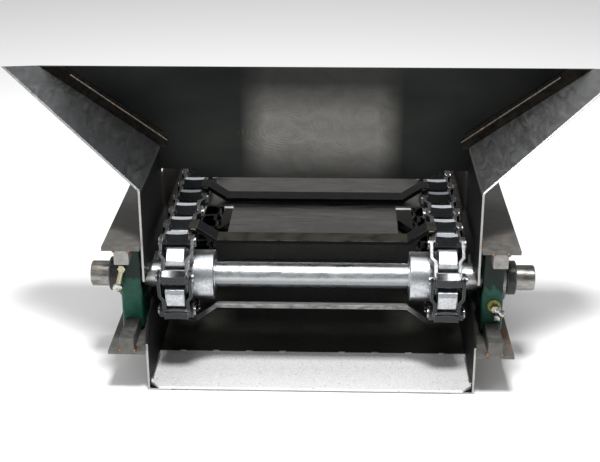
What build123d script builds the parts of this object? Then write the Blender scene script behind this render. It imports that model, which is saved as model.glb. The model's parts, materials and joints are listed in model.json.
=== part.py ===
"""Tail end of a double-strand chain-and-flight conveyor with an open-fronted feed hopper.

Millimetres, +X across the trough, +Y from the tail shaft towards the drive shaft, +Z up.
The origin is the middle of the footprint, on the surface that the trough stands on.
Shapes are drawn about the tail shaft's axis and written out shifted by to_frame.
"""
from build123d import *
from math import cos, radians, sin, tan
import os

os.makedirs("parts", exist_ok=True)

# ---- chain and sprockets ----
pitch = 58.75                   # pin to pin
teeth = 6
pitch_radius = pitch / 2 / sin(radians(180 / teeth))
strand_x = 198.0                # middle of each chain strand
first_pin_angle = 78.3          # pin where the upper run meets the tail sprocket, from -Y towards +Z
pin_radius = 5.55
running_clearance = 0.05
barrel_radius, barrel_waist = 11.1, 9.7  # at the side bars, and halfway between them
open_pivot_radius = 7.8         # bore of the barrels where a straight run meets a sprocket
bar_half_height = 11.0
nose_top, nose_waist = 15.2, 13.8       # height of the nose over the pin line: at its ends, halfway
nose_back, nose_front, nose_bevel = 7.0, 5.5, 3.0
narrow_inner, narrow_outer = 15.0, 20.0     # side bars at the barrel, from the link's middle
wide_inner, wide_outer = 20.8, 25.3         # and at the open end
offset_start, offset_end = 26.0, 34.0
pin_head_radius, pin_head = 7.5, 2.5
run_links = 9                   # links in each straight run
shaft_distance = run_links * pitch
tooth_half = 14.0
tooth_tip_radius = 67.0
seat_radius = barrel_radius + 2.0
hub_radius, hub_inner_x = 37.0, 144.5
sprocket_body_radius, tip_bevel = 50.0, 4.0

# ---- flights ----
flight_width, flight_thick = 32.0, 6.0
flight_drop, flight_rise = 2.5, 17.0    # outer face from the pin line: middle, ends
flight_bend_low, flight_bend_high, flight_end = 141.0, 170.0, 182.5
flight_every = 3
flight_edge = 1.5                # rounding of a flight's outer long edges

# ---- shafts ----
shaft_radius = 19.05
tail_shaft_half = 330.0
drive_end_x = 312.0             # plain end of the drive shaft
shaft_chamfer, tip_chamfer, hub_fillet = 1.5, 1.5, 2.0
drive_step_x, drive_stub_x, drive_stub_radius = 290.0, 352.0, 17.5      # turned-down input end
keyway_width, keyway_depth, keyway_length = 9.5, 4.5, 60.0
stub_keyway_length = 30.0
key_x = strand_x - 20           # middle of each key in the drive sprockets

# ---- sheet metal ----
sheet = 3.0
bend_radius = 5.0
trough_half = 240.0             # outer face of each side sheet
front_y = -87.0                 # front edge of the side sheets above the shaft slot
rear_y = 640.0
base_z = -148.0
slot_low, slot_high, slot_rear = -38.0, 26.0, 48.0
fold_z = 164.0                  # where a side sheet leans out into the hopper
rear_wall_z = 112.0             # top of the side sheets behind the hopper
hopper_slope = 35.0             # degrees above horizontal
back_plate_y = 118.0
rim_front_x, rim_front_y = 448.0, 30.0
rim_drop = 22.0                 # rim falls this much from its front corner to the back plate
back_gap_z = 112.0              # lower edge of the back plate between the strands
back_gap_high_z = 126.0         # and over the strands
back_gap_x, back_chamfer = 180.0, 10.0
slot_corner, slot_mouth = 10.0, 17.0
foot_front_y = front_y - 4
rear_corner = 30.0
shaft_hole_gap = 4.0
deck_hem = 25.0
lip_chamfer = 14.0
flange = 35.0                   # feet folded inwards under the side sheets
corner_flange = 20.0            # folded strip in front of the back plate
deck_z = 46.0                   # top of the deck: the chain slides on it
notch_x, notch_rear = 130.0, 171.0
tongue_front = 45.0
drive_clear_chain, drive_clear_tongue = 110.0, 62.0
lip_thick, lip_front, lip_rear = 4.0, -92.0, 22.0
foot_hole_radius = 5.5
foot_bolt_x, foot_bolt_y = 222.0, (150.0, 520.0)

# ---- take-up ----
rail_x, rail_z, rail_size = 266.4, 68.6, 21.0
rail_front, rail_rear = -101.0, 200.0
guide_plate_x = 294.0
wing_thick, wing_rear = 5.7, 215.0
lower_plate_thick = 4.6
housing_half_x, housing_half_y, housing_half_z = 16.0, 34.0, 71.0
housing_corner, rail_edge = 4.0, 0.8
groove_gap = 0.4                # between a housing and its rails
insert_radius, insert_half = 33.0, 15.0
insert_shift = 4.0              # inserts stand proud of the housings' outer faces
collar_radius, collar_width = 25.5, 14.0
tail_collar_x, drive_collar_gap = 295.0, 1.0
spacer_radius, spacer_end = 20.5, 250.0
collar_screw_radius, collar_chamfer = 3.0, 1.2
lug_y, lug_thick, lug_outer_x = 150.0, 12.0, 291.0
screw_radius, screw_tip_gap, screw_end_y = 8.0, 0.2, 198.0
hex_across, hex_high = 24.0, 12.0
fitting_neck, fitting_body = 4.0, 6.0
fitting_reach, fitting_depth = 9.0, 7.0      # in front of a housing, and screwed into it
right_neck, right_head = (269.0, -housing_half_y, -30.5), (283.0, -50.0, -40.0)
left_neck, left_head = (-277.0, -housing_half_y, 28.0), (-285.0, -47.0, -6.0)

# ---- drive bearings, bolted outside the side sheets ----
bearing_flange, bearing_flange_thick, bearing_corner = 112.0, 14.0, 14.0
bearing_boss_radius, bearing_boss_x = 43.0, 272.0
bolt_spacing, bolt_hole_radius, bolt_radius = 82.0, 6.5, 6.0
bolt_head_across, bolt_head_high = 18.0, 8.0

# ---- placing ----
tail_y = -(rear_y + rail_front) / 2
to_frame = Location((0, tail_y, -base_z))
sides = {"left": -1, "right": 1}


def write(piece, name):
    """Label a finished piece, move it into the part's frame and write its STEP file."""
    placed = piece.part.moved(to_frame)
    placed.label = name
    export_step(placed, f"parts/{name}.step")


def on_circle(angle, centre_y=0.0):
    """A pin centre on a sprocket, its angle measured from -Y towards +Z."""
    return (centre_y - pitch_radius * cos(radians(angle)), pitch_radius * sin(radians(angle)))


def chain_pins():
    """Every pin centre (y, z) round the loop, from the tail end of the upper run."""
    step = 360 / teeth
    wrap_links = teeth // 2
    tail = [on_circle(first_pin_angle - step * n) for n in range(wrap_links + 1)]
    drive = [on_circle(first_pin_angle + 180 - step * n, shaft_distance) for n in range(wrap_links + 1)]
    lower = [(tail[-1][0] + pitch * n, tail[-1][1]) for n in range(1, run_links)]
    upper = [(drive[-1][0] - pitch * n, drive[-1][1]) for n in range(1, run_links)]
    return tail + lower + drive + upper


pins = chain_pins()
wrap = teeth // 2
# Link n runs from pin n (its open end) to pin n + 1 (its barrel).
tail_links = range(0, wrap)
lower_links = range(wrap, wrap + run_links)
drive_links = range(wrap + run_links, 2 * wrap + run_links)
upper_links = range(2 * wrap + run_links, 2 * wrap + 2 * run_links)
open_pivots = (wrap, wrap + run_links, 2 * wrap + run_links, len(pins))


def link_plane(n, x=0.0):
    """Plane of link n: local X along the link, local Z out of the loop, origin at its open pin."""
    (y0, z0), (y1, z1) = pins[n % len(pins)], pins[(n + 1) % len(pins)]
    along = Vector(0, y1 - y0, z1 - z0)
    outward = along.cross(Vector(1, 0, 0)).normalized()
    return Plane(origin=(x, y0, z0), x_dir=along, z_dir=outward)


def make_link(bore_radius):
    """One offset chain link lying along +X: cranked side bars, a waisted barrel and a nose over it."""
    barrel_end = (narrow_inner + narrow_outer) / 2
    with BuildPart() as nose:
        with BuildSketch(Plane.YZ.offset(pitch - barrel_radius)):
            with BuildLine():
                ThreePointArc((-barrel_end, nose_top), (0, nose_waist), (barrel_end, nose_top))
                Polyline((barrel_end, nose_top), (barrel_end, 0), (-barrel_end, 0), (-barrel_end, nose_top))
            make_face()
        extrude(amount=2 * barrel_radius)
        with BuildSketch(Plane.XZ):
            with BuildLine():
                Polyline(
                    (pitch - nose_back, 0),
                    (pitch - nose_back, nose_top - nose_bevel),
                    (pitch - nose_back + nose_bevel, nose_top),
                    (pitch + nose_front, nose_top),
                    (pitch + barrel_radius, 1),
                    (pitch + barrel_radius, 0),
                    close=True,
                )
            make_face()
        extrude(amount=2 * barrel_end, both=True, mode=Mode.INTERSECT)
    with BuildPart() as link:
        with BuildSketch(Plane.XY):
            for side in (1, -1):
                with BuildLine():
                    Polyline(
                        (-barrel_radius, side * wide_inner),
                        (offset_start, side * wide_inner),
                        (offset_end, side * narrow_inner),
                        (pitch + barrel_radius, side * narrow_inner),
                        (pitch + barrel_radius, side * narrow_outer),
                        (offset_end + 1, side * narrow_outer),
                        (offset_start + 1, side * wide_outer),
                        (-barrel_radius, side * wide_outer),
                        close=True,
                    )
                make_face()
        extrude(amount=bar_half_height, both=True)
        with BuildSketch(Plane.XZ):
            with Locations((pitch / 2, 0)):
                SlotCenterToCenter(pitch, 2 * bar_half_height)
        extrude(amount=2 * wide_outer, both=True, mode=Mode.INTERSECT)
        with BuildSketch(Plane.XY):
            with BuildLine():
                waist = (pitch + barrel_waist, 0)
                ThreePointArc((pitch + barrel_radius, -barrel_end), waist, (pitch + barrel_radius, barrel_end))
                Polyline(
                    (pitch + barrel_radius, barrel_end),
                    (pitch, barrel_end),
                    (pitch, -barrel_end),
                    (pitch + barrel_radius, -barrel_end),
                )
            make_face()
        revolve(axis=Axis((pitch, 0, 0), (0, 1, 0)))
        add(nose.part)
        with Locations((pitch, 0, 0)):
            Cylinder(bore_radius, 2 * wide_outer, rotation=(90, 0, 0), mode=Mode.SUBTRACT)
        with Locations((0, 0, 0)):
            Cylinder(pin_radius, 4 * wide_outer, rotation=(90, 0, 0), mode=Mode.SUBTRACT)
    return link.part


def make_flight():
    """A flat bar across the trough, its ends cranked outwards onto the chains' inner side bars."""
    lean = (flight_drop + flight_rise) / (flight_bend_high - flight_bend_low)
    mitre = flight_thick * lean / (1 + (1 + lean**2) ** 0.5)
    corners = [
        (flight_bend_low, -flight_drop),
        (flight_bend_high, flight_rise),
        (flight_end, flight_rise),
        (flight_end, flight_rise - flight_thick),
        (flight_bend_high + mitre, flight_rise - flight_thick),
        (flight_bend_low + mitre, -flight_drop - flight_thick),
    ]
    with BuildPart() as flight:
        with BuildSketch(Plane.YZ.offset(pitch / 2)):
            with BuildLine():
                Polyline(*corners, *[(-x, z) for x, z in reversed(corners)], close=True)
            make_face()
        extrude(amount=flight_width / 2, both=True)
        fillet(flight.edges().filter_by(Axis.Y).group_by(Axis.Z)[0], flight_edge)
    return flight.part


plain_link = make_link(pin_radius + running_clearance)
open_link = make_link(open_pivot_radius)
flight_bar = make_flight()


def link_set(numbers, side):
    """The links of one body on one strand."""
    with BuildPart() as links:
        for n in numbers:
            shape = open_link if n + 1 in open_pivots else plain_link
            add(link_plane(n, side * strand_x).location * shape)
    return links


def pin_set(numbers):
    """The headed pins at the open ends of a body's links, on both strands."""
    head_centre = wide_outer + pin_head / 2
    with BuildPart() as pin_group:
        for side in sides.values():
            for n in numbers:
                y, z = pins[n % len(pins)]
                with Locations(Location((side * strand_x, y, z), (0, 90, 0))):
                    Cylinder(pin_radius, 2 * wide_outer)
                    with Locations((0, 0, head_centre), (0, 0, -head_centre)):
                        Cylinder(pin_head_radius, pin_head)
    return pin_group


def flight_on(n):
    """The flight carried by link n."""
    with BuildPart() as flight:
        add(link_plane(n).location * flight_bar)
    return flight


def write_chain(body, numbers):
    """Links, pins and flights of one body. Flights sit on every third link."""
    for side_name, side in sides.items():
        write(link_set(numbers, side), f"{body}_links_{side_name}")
    write(pin_set(numbers), f"{body}_pins")
    carried = [n for n in numbers if n % flight_every == wrap - 1]
    for count, n in enumerate(carried, 1):
        name = f"{body}_flight" if len(carried) == 1 else f"{body}_flight_{count}"
        write(flight_on(n), name)


write_chain("tail", tail_links)
write_chain("lower", lower_links)
write_chain("drive", drive_links)
write_chain("upper", upper_links)


# ---- sprockets: cast body with six blunt teeth and a long inner hub ----
flank_radius = pitch - seat_radius      # the next barrel swings clear of the tooth on this arc
with BuildSketch() as tooth:
    chord_height = pitch_radius * cos(radians(180 / teeth))
    with Locations((-pitch / 2, chord_height)):
        Circle(flank_radius)
    with Locations((pitch / 2, chord_height)):
        Circle(flank_radius, mode=Mode.INTERSECT)
    Circle(tooth_tip_radius, mode=Mode.INTERSECT)
    chamfer(tooth.vertices().group_by(Axis.Y)[-1], tip_bevel)


def sprocket(side, centre_y, keyed):
    """One sprocket; keyed ones have a keyway through the bore."""
    with BuildPart() as wheel:
        with BuildSketch(Plane.YZ.offset(side * strand_x)):
            with Locations((centre_y, 0)):
                Circle(sprocket_body_radius)
                with PolarLocations(0, teeth, 90 - first_pin_angle + 180 / teeth):
                    add(tooth.sketch)
                with PolarLocations(pitch_radius, teeth, 180 - first_pin_angle):
                    Circle(seat_radius, mode=Mode.SUBTRACT)
        extrude(amount=tooth_half, both=True)
        rims = wheel.edges().filter_by(GeomType.CIRCLE)
        chamfer(rims.filter_by(lambda edge: abs(edge.radius - tooth_tip_radius) < 0.01), tip_chamfer)
        with BuildSketch(Plane.YZ.offset(side * hub_inner_x)):
            with Locations((centre_y, 0)):
                Circle(hub_radius)
        extrude(amount=side * (strand_x - hub_inner_x))
        fillet(wheel.edges().filter_by(GeomType.CIRCLE).sort_by(Axis.X)[0 if side > 0 else -1], hub_fillet)
        with Locations((side * strand_x, centre_y, 0)):
            Cylinder(shaft_radius, 4 * hub_radius, rotation=(0, 90, 0), mode=Mode.SUBTRACT)
        if keyed:
            with Locations((side * strand_x, centre_y, shaft_radius)):
                Box(4 * hub_radius, keyway_width, 2 * keyway_depth, mode=Mode.SUBTRACT)
    return wheel


for side_name, side in sides.items():
    write(sprocket(side, 0, keyed=False), f"tail_sprocket_{side_name}")
    write(sprocket(side, shaft_distance, keyed=True), f"drive_sprocket_{side_name}")

# ---- shafts ----
with BuildPart() as tail_shaft:
    Cylinder(shaft_radius, 2 * tail_shaft_half, rotation=(0, 90, 0))
    chamfer(tail_shaft.edges().filter_by(GeomType.CIRCLE), shaft_chamfer)
write(tail_shaft, "tail_shaft")

with BuildPart() as drive_shaft:
    full_length = drive_end_x + drive_step_x
    with Locations(((drive_step_x - drive_end_x) / 2, shaft_distance, 0)):
        Cylinder(shaft_radius, full_length, rotation=(0, 90, 0))
    with Locations(((drive_step_x + drive_stub_x) / 2, shaft_distance, 0)):
        Cylinder(drive_stub_radius, drive_stub_x - drive_step_x, rotation=(0, 90, 0))
    ends = drive_shaft.edges().filter_by(GeomType.CIRCLE).sort_by(Axis.X)
    chamfer([ends[0], ends[-1]], shaft_chamfer)
    with Locations((drive_stub_x - stub_keyway_length / 2, shaft_distance, drive_stub_radius)):
        Box(stub_keyway_length, keyway_width, 2 * keyway_depth, mode=Mode.SUBTRACT)
    with Locations(*[(side * key_x, shaft_distance, shaft_radius) for side in (1, -1)]):
        Box(keyway_length, keyway_width, 2 * keyway_depth, mode=Mode.SUBTRACT)
write(drive_shaft, "drive_shaft")

with BuildPart() as drive_keys:
    for side in sides.values():
        with Locations((side * key_x, shaft_distance, shaft_radius)):
            Box(keyway_length, keyway_width, 2 * keyway_depth)
write(drive_keys, "drive_keys")


# ---- sheet metal, drawn for the +X side and mirrored ----
lean = radians(hopper_slope)
rim_front_z = fold_z + (rim_front_x - trough_half) * tan(lean)
rim_back_z = rim_front_z - rim_drop
inner_half = trough_half - sheet
inner_fold_z = fold_z + sheet * tan(lean / 2)
reach = 2 * trough_half         # longer than any sheet is wide


def hopper_inner_x(z):
    """Inner face of a leaning hopper side at height z."""
    return inner_half + (z - inner_fold_z) / tan(lean)


def write_pair(piece, name):
    """Write a +X piece and its mirror image."""
    write(piece, f"{name}_right")
    with BuildPart() as other:
        add(mirror(piece.part, about=Plane.YZ))
    write(other, f"{name}_left")


with BuildPart() as side_sheet:
    with BuildSketch(Plane.XZ):
        with BuildLine():
            Polyline(
                (trough_half - flange, base_z),
                (trough_half, base_z),
                (trough_half, fold_z),
                (trough_half + reach, fold_z + reach * tan(lean)),
                (hopper_inner_x(fold_z + reach * tan(lean)), fold_z + reach * tan(lean)),
                (inner_half, inner_fold_z),
                (inner_half, base_z + sheet),
                (trough_half - flange, base_z + sheet),
                close=True,
            )
        make_face()
    extrude(amount=rear_y + reach, both=True)
    bends = side_sheet.edges().filter_by(Axis.Y).filter_by_position(Axis.Z, fold_z - 1, inner_fold_z + 1)
    fillet(bends, bend_radius)
    with BuildSketch(Plane.YZ):
        with BuildLine():
            Polyline(
                (front_y, fold_z),
                (front_y, slot_high),
                (slot_rear - slot_corner, slot_high),
                (slot_rear, slot_high - slot_corner),
                (slot_rear, slot_low + slot_corner),
                (slot_rear - slot_corner, slot_low),
                (front_y + slot_mouth, slot_low),
                (foot_front_y, slot_low - 2 * slot_mouth),
                (foot_front_y, base_z),
                (rear_y, base_z),
                (rear_y, rear_wall_z - rear_corner),
                (rear_y - rear_corner, rear_wall_z),
                (back_plate_y + sheet, rear_wall_z),
                (back_plate_y + sheet, rim_back_z),
                (rim_front_y, rim_front_z),
                close=True,
            )
        make_face()
        with Locations((shaft_distance, 0)):
            Circle(shaft_radius + shaft_hole_gap, mode=Mode.SUBTRACT)
            with GridLocations(bolt_spacing, bolt_spacing, 2, 2):
                Circle(bolt_hole_radius, mode=Mode.SUBTRACT)
    extrude(amount=2 * reach, mode=Mode.INTERSECT)
    with BuildSketch(Plane.XY.offset(base_z)):
        with Locations(*[(foot_bolt_x, y) for y in foot_bolt_y]):
            Circle(foot_hole_radius)
    extrude(amount=sheet, mode=Mode.SUBTRACT)
    # strip folded across the back corner, in front of the back plate
    strip = corner_flange / sin(lean)
    with BuildSketch(Plane.XZ.offset(-back_plate_y)):
        with BuildLine():
            Polyline(
                (inner_half + 1, inner_fold_z - sheet),
                (hopper_inner_x(rim_back_z) + 1, rim_back_z),
                (hopper_inner_x(rim_back_z) - strip, rim_back_z),
                (hopper_inner_x(inner_fold_z + corner_flange) - strip, inner_fold_z + corner_flange),
                (inner_half - corner_flange / 2, inner_fold_z - sheet),
                close=True,
            )
        make_face()
    extrude(amount=sheet)
write_pair(side_sheet, "side_sheet")

with BuildPart() as back_plate:
    with BuildSketch(Plane.XZ.offset(-back_plate_y)):
        with BuildLine():
            right_edge = [
                (back_gap_x - back_chamfer / 2, back_gap_z),
                (back_gap_x + back_chamfer / 2, back_gap_high_z),
                (inner_half, back_gap_high_z),
                (inner_half, inner_fold_z),
                (hopper_inner_x(rim_back_z), rim_back_z),
            ]
            Polyline(*right_edge, *[(-x, z) for x, z in reversed(right_edge)], close=True)
        make_face()
    extrude(amount=-sheet)
write(back_plate, "back_plate")

deck_front, deck_rear = notch_rear, shaft_distance - drive_clear_chain
with BuildPart() as deck_plate:
    with BuildSketch(Plane.XY.offset(deck_z - sheet)):
        with Locations((0, (deck_front + deck_rear) / 2)):
            Rectangle(2 * inner_half, deck_rear - deck_front)
        tongue = (tongue_front, shaft_distance - drive_clear_tongue)
        with Locations((0, sum(tongue) / 2)):
            Rectangle(2 * notch_x, tongue[1] - tongue[0])
    extrude(amount=sheet)
    with BuildSketch(Plane.XY.offset(deck_z)):
        hem_middle = (inner_half - sheet / 2, (deck_front + deck_rear) / 2)
        with Locations(hem_middle, (-hem_middle[0], hem_middle[1])):
            Rectangle(sheet, deck_rear - deck_front)
    extrude(amount=-deck_hem)
write(deck_plate, "deck_plate")

with BuildPart() as floor_pan:
    with BuildSketch(Plane.XY.offset(base_z + sheet)):
        with Locations((0, (lip_rear + rear_y) / 2)):
            Rectangle(2 * inner_half, rear_y - lip_rear)
        with Locations(*[(side * foot_bolt_x, y) for side in (1, -1) for y in foot_bolt_y]):
            Circle(foot_hole_radius, mode=Mode.SUBTRACT)
    extrude(amount=sheet)
write(floor_pan, "floor_pan")

with BuildPart() as lip_plate:
    with BuildSketch(Plane.XY.offset(base_z + sheet)):
        with Locations((0, (lip_front + lip_rear) / 2)):
            Rectangle(2 * inner_half, lip_rear - lip_front)
    extrude(amount=lip_thick)
    front_corners = lip_plate.edges().filter_by(Axis.Z).group_by(Axis.Y)[0]
    chamfer(front_corners, lip_chamfer)
write(lip_plate, "lip_plate")

# ---- take-up guides, welded outside the side sheets ----
plate_z = rail_z + rail_size / 2
with BuildPart() as wing_plate:
    with BuildSketch(Plane.XY.offset(plate_z)):
        with Locations(((trough_half + guide_plate_x) / 2, (rail_front + wing_rear) / 2)):
            Rectangle(guide_plate_x - trough_half, wing_rear - rail_front)
    extrude(amount=wing_thick)
write_pair(wing_plate, "wing_plate")

with BuildPart() as lower_plate:
    with BuildSketch(Plane.XY.offset(-plate_z)):
        with Locations(((trough_half + guide_plate_x) / 2, (rail_front + wing_rear) / 2)):
            Rectangle(guide_plate_x - trough_half, wing_rear - rail_front)
    extrude(amount=-lower_plate_thick)
write_pair(lower_plate, "lower_plate")

for level, z in {"upper": rail_z, "lower": -rail_z}.items():
    with BuildPart() as rail:
        with Locations((rail_x, (rail_front + rail_rear) / 2, z)):
            Box(rail_size, rail_rear - rail_front, rail_size)
        chamfer(rail.edges().filter_by(Axis.Y), rail_edge)
    write_pair(rail, f"{level}_rail")

lug_half_z = rail_z - rail_size / 2
with BuildPart() as screw_lug:
    with BuildSketch(Plane.XZ.offset(-lug_y)):
        with Locations(((trough_half + lug_outer_x) / 2, 0)):
            Rectangle(lug_outer_x - trough_half, 2 * lug_half_z)
        with Locations((rail_x, 0)):
            Circle(screw_radius + running_clearance, mode=Mode.SUBTRACT)
    extrude(amount=-lug_thick)
write_pair(screw_lug, "screw_lug")

with BuildPart() as lug_nut:
    with BuildSketch(Plane.XZ.offset(-(lug_y + lug_thick))):
        with Locations((rail_x, 0)):
            RegularPolygon(hex_across / 2, 6, major_radius=False)
            Circle(screw_radius + running_clearance, mode=Mode.SUBTRACT)
    extrude(amount=-hex_high)
with BuildPart() as lug_nuts:
    add(lug_nut.part)
    add(mirror(lug_nut.part, about=Plane.YZ))
write(lug_nuts, "lug_nuts")

with BuildPart() as takeup_screw:
    with BuildSketch(Plane.XZ.offset(-(housing_half_y + screw_tip_gap))):
        with Locations((rail_x, 0)):
            Circle(screw_radius)
    extrude(amount=-(screw_end_y - housing_half_y - screw_tip_gap))
    with BuildSketch(Plane.XZ.offset(-screw_end_y)):
        with Locations((rail_x, 0)):
            RegularPolygon(hex_across / 2, 6, major_radius=False)
    extrude(amount=-hex_high)
write_pair(takeup_screw, "takeup_screw")

# ---- sliding bearing housings, grooved to ride the rails ----
with BuildPart() as housing:
    with Locations((rail_x, 0, 0)):
        Box(2 * housing_half_x, 2 * housing_half_y, 2 * housing_half_z)
    fillet(housing.edges().filter_by(Axis.Z), housing_corner)
    groove = rail_size + 2 * groove_gap
    with Locations((rail_x, 0, rail_z), (rail_x, 0, -rail_z)):
        Box(groove, 2 * housing_half_y, groove, mode=Mode.SUBTRACT)
    with Locations((rail_x, 0, 0)):
        Cylinder(insert_radius, 4 * housing_half_x, rotation=(0, 90, 0), mode=Mode.SUBTRACT)
for side_name, side in sides.items():
    with BuildPart() as drilled_housing:
        add(housing.part if side > 0 else mirror(housing.part, about=Plane.YZ))
        neck = right_neck if side > 0 else left_neck
        with BuildSketch(Plane.XZ.offset(housing_half_y)):
            with Locations((neck[0], neck[2])):
                Circle(fitting_neck)
        extrude(amount=-fitting_depth, mode=Mode.SUBTRACT)
    write(drilled_housing, f"takeup_housing_{side_name}")


def bearing_insert(x, y):
    """Bearing insert, running on its shaft."""
    with BuildPart() as insert:
        with Locations((x, y, 0)):
            Cylinder(insert_radius, 2 * insert_half, rotation=(0, 90, 0))
            bore = shaft_radius + running_clearance
            Cylinder(bore, 4 * insert_half, rotation=(0, 90, 0), mode=Mode.SUBTRACT)
    return insert


def lock_collar(x, y):
    """Collar clamped on a shaft by a radial screw."""
    with BuildPart() as collar:
        with Locations((x, y, 0)):
            Cylinder(collar_radius, collar_width, rotation=(0, 90, 0))
            Cylinder(shaft_radius, 2 * collar_width, rotation=(0, 90, 0), mode=Mode.SUBTRACT)
        chamfer(collar.edges().filter_by(GeomType.CIRCLE).group_by(SortBy.RADIUS)[-1], collar_chamfer)
        with Locations((x, y, -(collar_radius + shaft_radius) / 2)):
            Cylinder(collar_screw_radius, collar_radius - shaft_radius + 4, mode=Mode.SUBTRACT)
    return collar


write_pair(bearing_insert(rail_x + insert_shift, 0), "takeup_insert")


def write_collars(x, y, name):
    """One lock collar at each end of a shaft, in one node."""
    with BuildPart() as collars:
        for side in sides.values():
            add(lock_collar(side * x, y))
    write(collars, name)


write_collars(tail_collar_x, 0, "tail_collars")

with BuildPart() as tail_spacers:
    for side in sides.values():
        with BuildSketch(Plane.YZ.offset(side * (strand_x + tooth_half))):
            Circle(spacer_radius)
            Circle(shaft_radius, mode=Mode.SUBTRACT)
        extrude(amount=side * (spacer_end - strand_x - tooth_half))
write(tail_spacers, "tail_spacers")


def grease_fitting(neck, head):
    """Elbow fitting: a neck screwed into the housing's front face, a six-sided body and a nozzle."""
    elbow = Vector(neck[0], neck[1] - fitting_reach, neck[2])
    nozzle = Vector(*head) - elbow
    with BuildPart() as fitting:
        with BuildSketch(Plane.XZ.offset(housing_half_y + fitting_reach)):
            with Locations((neck[0], neck[2])):
                Circle(fitting_neck)
        extrude(amount=-fitting_reach - fitting_depth)
        with BuildSketch(Plane(origin=elbow, z_dir=nozzle)):
            Circle(fitting_neck)
        extrude(amount=nozzle.length)
        with BuildSketch(Plane.XZ.offset(housing_half_y + fitting_reach + fitting_body)):
            with Locations((neck[0], neck[2])):
                RegularPolygon(fitting_body, 6)
        extrude(amount=-2 * fitting_body)
    return fitting


write(grease_fitting(right_neck, right_head), "grease_fitting_right")
write(grease_fitting(left_neck, left_head), "grease_fitting_left")

# ---- drive bearings ----
with BuildPart() as drive_bearing:
    with BuildSketch(Plane.YZ.offset(trough_half)):
        with Locations((shaft_distance, 0)):
            RectangleRounded(bearing_flange, bearing_flange, bearing_corner)
            with GridLocations(bolt_spacing, bolt_spacing, 2, 2):
                Circle(bolt_hole_radius, mode=Mode.SUBTRACT)
    extrude(amount=bearing_flange_thick)
    with BuildSketch(Plane.YZ.offset(trough_half)):
        with Locations((shaft_distance, 0)):
            Circle(bearing_boss_radius)
    extrude(amount=bearing_boss_x - trough_half)
    with Locations((trough_half, shaft_distance, 0)):
        Cylinder(insert_radius, 4 * (bearing_boss_x - trough_half), rotation=(0, 90, 0), mode=Mode.SUBTRACT)
write_pair(drive_bearing, "drive_bearing")
drive_insert_x = trough_half + insert_half
write_pair(bearing_insert(drive_insert_x, shaft_distance), "drive_insert")

write_collars(bearing_boss_x + drive_collar_gap + collar_width / 2, shaft_distance, "drive_collars")

with BuildPart() as drive_bolts:
    for side in sides.values():
        head_plane = Plane.YZ.offset(side * (trough_half + bearing_flange_thick))
        nut_plane = Plane.YZ.offset(side * inner_half)
        for plane, out in ((head_plane, side), (nut_plane, -side)):
            with BuildSketch(plane):
                with Locations((shaft_distance, 0)):
                    with GridLocations(bolt_spacing, bolt_spacing, 2, 2):
                        RegularPolygon(bolt_head_across / 2, 6, major_radius=False)
            extrude(amount=out * bolt_head_high)
        with BuildSketch(head_plane):
            with Locations((shaft_distance, 0)):
                with GridLocations(bolt_spacing, bolt_spacing, 2, 2):
                    Circle(bolt_radius)
        extrude(amount=-side * (bearing_flange_thick + sheet))
write(drive_bolts, "drive_bolts")
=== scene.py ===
import json
import math
import random

import bmesh
import bpy
from mathutils import Matrix, Vector


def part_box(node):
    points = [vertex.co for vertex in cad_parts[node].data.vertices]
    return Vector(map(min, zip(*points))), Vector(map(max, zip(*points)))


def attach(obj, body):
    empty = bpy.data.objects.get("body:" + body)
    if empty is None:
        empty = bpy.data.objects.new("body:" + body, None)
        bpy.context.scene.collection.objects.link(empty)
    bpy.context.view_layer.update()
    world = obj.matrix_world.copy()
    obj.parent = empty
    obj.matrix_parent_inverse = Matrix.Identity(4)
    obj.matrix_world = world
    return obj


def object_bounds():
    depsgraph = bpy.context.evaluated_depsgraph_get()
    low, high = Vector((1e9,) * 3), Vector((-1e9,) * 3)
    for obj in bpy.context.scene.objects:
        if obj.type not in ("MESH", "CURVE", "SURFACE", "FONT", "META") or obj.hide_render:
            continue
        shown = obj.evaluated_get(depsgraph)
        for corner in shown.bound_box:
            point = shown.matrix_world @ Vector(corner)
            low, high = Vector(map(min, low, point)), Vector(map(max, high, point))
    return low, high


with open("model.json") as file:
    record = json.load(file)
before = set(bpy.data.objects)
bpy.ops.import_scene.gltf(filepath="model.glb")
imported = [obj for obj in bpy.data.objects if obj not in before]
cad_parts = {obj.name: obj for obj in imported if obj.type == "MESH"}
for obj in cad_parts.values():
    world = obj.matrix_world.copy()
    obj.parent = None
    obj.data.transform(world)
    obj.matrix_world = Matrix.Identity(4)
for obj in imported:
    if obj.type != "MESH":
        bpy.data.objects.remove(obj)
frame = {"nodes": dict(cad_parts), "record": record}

cad_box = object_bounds()
record = frame["record"]
random.seed(7)


# ---------------------------------------------------------------- places from the frame
def middle(node):
    """The centre of a node's box at rest."""
    low, high = (Vector(corner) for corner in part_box(node))
    return (low + high) / 2


tail = middle("tail_shaft")
tail.x = 0.0
sides = {"left": -1, "right": 1}
strand_x = middle("upper_links_right").x
plate_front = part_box("back_plate")[0][1]


# ---------------------------------------------------------------- node helpers
def put(tree, kind, inputs=None, **settings):
    """Add a node, set its properties, and set or link its inputs."""
    node = tree.nodes.new("ShaderNode" + kind)
    for name, value in settings.items():
        setattr(node, name, value)
    for name, value in (inputs or {}).items():
        if isinstance(value, bpy.types.NodeSocket):
            tree.links.new(value, node.inputs[name])
        else:
            node.inputs[name].default_value = value
    return node


def spot(tree, scale=(1, 1, 1), turn=(0, 0, 0)):
    """Object coordinates, stretched and turned."""
    coords = put(tree, "TexCoord").outputs["Object"]
    return put(tree, "Mapping", {"Vector": coords, "Scale": scale, "Rotation": turn}).outputs["Vector"]


def noise(tree, vector, scale, detail=4.0, roughness=0.6, distortion=0.0):
    inputs = {"Vector": vector, "Scale": scale, "Detail": detail, "Roughness": roughness}
    inputs["Distortion"] = distortion
    return put(tree, "TexNoise", inputs).outputs["Fac"]


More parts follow.
